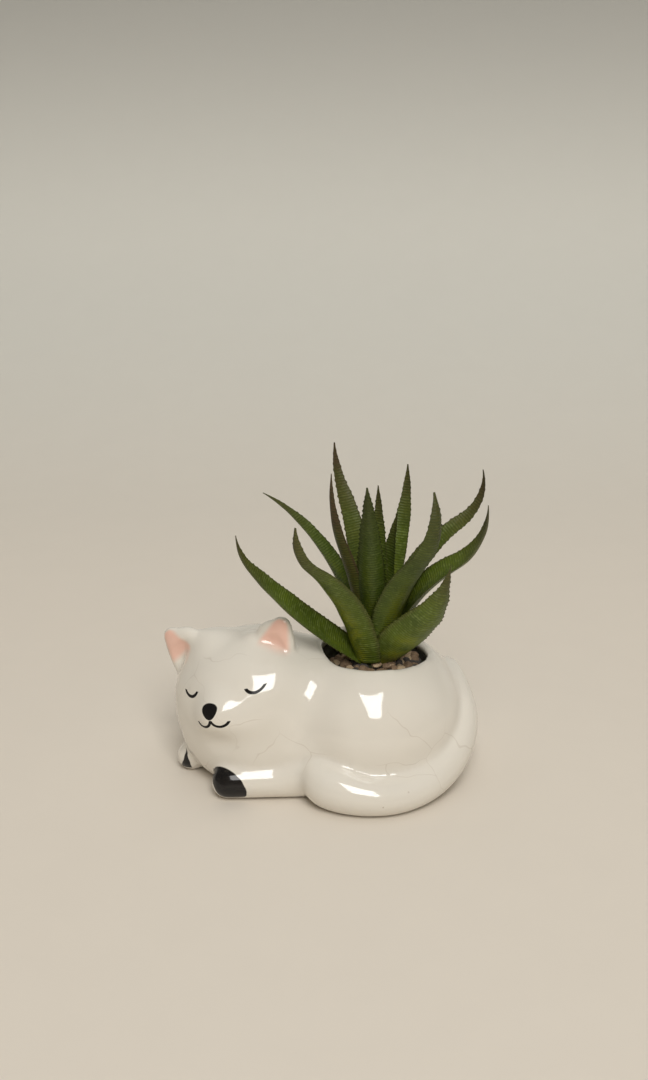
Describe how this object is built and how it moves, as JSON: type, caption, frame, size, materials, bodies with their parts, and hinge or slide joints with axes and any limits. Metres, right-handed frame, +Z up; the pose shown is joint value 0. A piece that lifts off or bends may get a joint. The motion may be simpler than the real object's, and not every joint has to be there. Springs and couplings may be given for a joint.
{
  "type": "animal shaped planter",
  "caption": "Hollow glazed ceramic planter in the shape of a curled sleeping cat, with a lift-out artificial aloe set in gravel in the round mouth in its back.",
  "frame": {"origin": "on the ground plane, under the centre of the mouth in the cat's back", "axes": "+Z up; the cat's head lies towards -X; the face and the end of the tail look towards -Y"},
  "size_m": [0.1242, 0.0897, 0.1242],
  "materials": {
    "glaze": "warm white gloss glaze with fine crazing and painted black and pink details",
    "foam": "dry green floral foam",
    "soil": "dark glued soil",
    "stem": "matte moulded plastic",
    "tan_stone": "rough tan gravel",
    "brown_stone": "rough brown gravel",
    "dark_stone": "rough dark gravel",
    "leaf": "soft plastic with fine cross lines, olive and brown tints"
  },
  "bodies": {
    "pot": {"cat_pot": "glaze"},
    "plant_insert": {"foam_core": "foam", "soil_bed": "soil", "plant_stem": "stem", "gravel_tan": "tan_stone", "gravel_brown": "brown_stone", "gravel_dark": "dark_stone", "leaf_01": "leaf", "leaf_02": "leaf", "leaf_03": "leaf", "leaf_04": "leaf", "leaf_05": "leaf", "leaf_06": "leaf", "leaf_07": "leaf", "leaf_08": "leaf", "leaf_09": "leaf", "leaf_10": "leaf", "leaf_11": "leaf", "leaf_12": "leaf", "leaf_13": "leaf", "leaf_14": "leaf"}
  },
  "joints": [
    {"name": "plant_lift", "type": "slide", "parent": "pot", "child": "plant_insert", "axis": [0, 0, 1], "range_m": [0, 0.06]}
  ]
}
